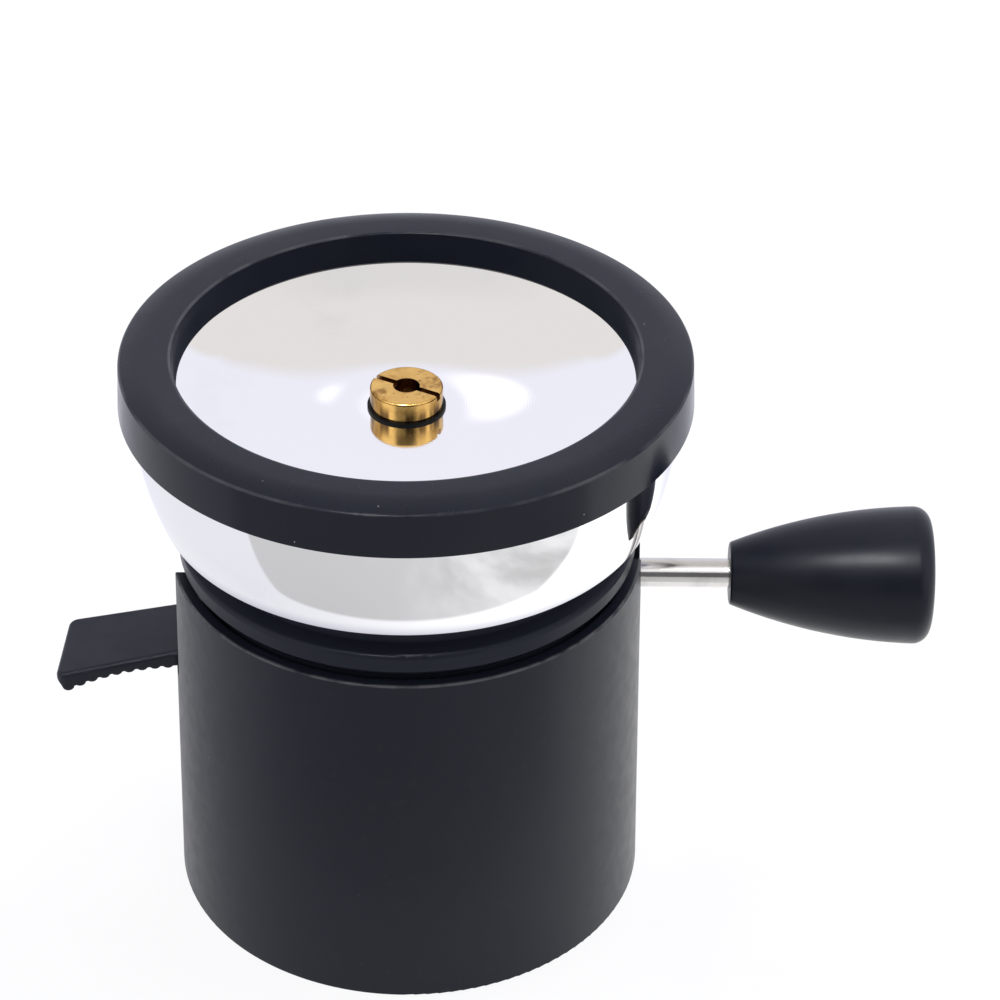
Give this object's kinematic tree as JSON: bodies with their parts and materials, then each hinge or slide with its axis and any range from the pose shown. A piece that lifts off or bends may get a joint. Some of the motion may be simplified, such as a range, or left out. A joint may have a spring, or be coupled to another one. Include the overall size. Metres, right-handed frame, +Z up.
{
  "type": "butane burner",
  "caption": "Tabletop butane burner turned over for refilling: round tank with rubber foot ring and filler valve, black windshield, spark lever and flame knob on a rod.",
  "frame": {"origin": "on the burner's axis in the plane of the windshield mouth, on which it stands for refilling", "axes": "+Z up from the mouth along the burner's axis to the tank and filler valve, +X along the flame knob's rod; in use it is turned over and stands on the ring at +Z"},
  "size_m": [0.1357, 0.086, 0.0947],
  "materials": {
    "foot_rubber": "satin moulded black rubber",
    "tank_chrome": "polished chrome plate",
    "plate_mirror": "mirror-polished dished sheet",
    "valve_brass": "turned brass",
    "seal_rubber": "black seal rubber",
    "filter_bronze": "sintered bronze",
    "shield_paint": "fine matt black coating",
    "housing_plastic": "moulded black heat-proof plastic",
    "lever_plastic": "moulded black plastic",
    "knob_plastic": "moulded black plastic",
    "rod_steel": "polished drawn steel",
    "steel_small": "turned and drawn steel",
    "burner_steel": "stainless sheet",
    "piezo_plastic": "moulded igniter case",
    "plunger_plastic": "moulded white plastic",
    "insulator_ceramic": "glazed white ceramic",
    "lead_sleeve": "red silicone sleeve"
  },
  "bodies": {
    "burner": {"base_ring": "foot_rubber", "tank_bowl": "tank_chrome", "bottom_plate": "plate_mirror", "filler_valve_body": "valve_brass", "filler_boss": "valve_brass", "filler_retainer": "valve_brass", "tank_bush": "valve_brass", "tank_nut": "valve_brass", "valve_block": "valve_brass", "gas_jet": "valve_brass", "gland_nut": "valve_brass", "filler_gasket": "seal_rubber", "tank_o_ring": "seal_rubber", "fuel_filter": "filter_bronze", "windshield": "shield_paint", "neck_housing": "housing_plastic", "filler_spring": "steel_small", "piezo_spring": "steel_small", "lever_pin": "steel_small", "shield_screws": "steel_small", "electrode": "steel_small", "mixing_tube": "burner_steel", "burner_cup": "burner_steel", "flame_plate": "burner_steel", "burner_bezel": "burner_steel", "heat_shield": "burner_steel", "piezo_body": "piezo_plastic", "electrode_insulator": "insulator_ceramic", "ignition_lead": "lead_sleeve"},
    "knob": {"flame_knob": "knob_plastic", "knob_rod": "rod_steel", "needle_spindle": "steel_small", "spindle_o_ring": "seal_rubber", "spindle_pin": "steel_small"},
    "lever": {"ignition_lever": "lever_plastic"},
    "plunger": {"piezo_plunger": "plunger_plastic"},
    "pin": {"filler_pin": "steel_small", "filler_seal": "seal_rubber"}
  },
  "joints": [
    {"name": "flame_turn", "type": "hinge", "parent": "burner", "child": "knob", "pos_m": [0, 0, 0.0547], "axis": [1, 0, 0], "range_deg": [0, 270]},
    {"name": "lever_press", "type": "hinge", "parent": "burner", "child": "lever", "pos_m": [-0.011, 0, 0.04753], "axis": [0, 1, 0], "range_deg": [0, 14], "stiffness_Nm_per_rad": 0.05, "springref_deg": -5.73},
    {"name": "plunger_slide", "type": "slide", "parent": "burner", "child": "plunger", "axis": [0, 0, 1], "range_m": [0, 0.0029], "deforming": ["piezo_spring"]},
    {"name": "pin_slide", "type": "slide", "parent": "burner", "child": "pin", "axis": [0, 0, -1], "range_m": [0, 0.0015], "stiffness_N_per_m": 20, "springref_m": -0.002, "deforming": ["filler_spring"]}
  ],
  "couplings": [
    {"joint": "plunger_slide", "follows": "lever_press", "m_per_rad": 0.0117}
  ]
}
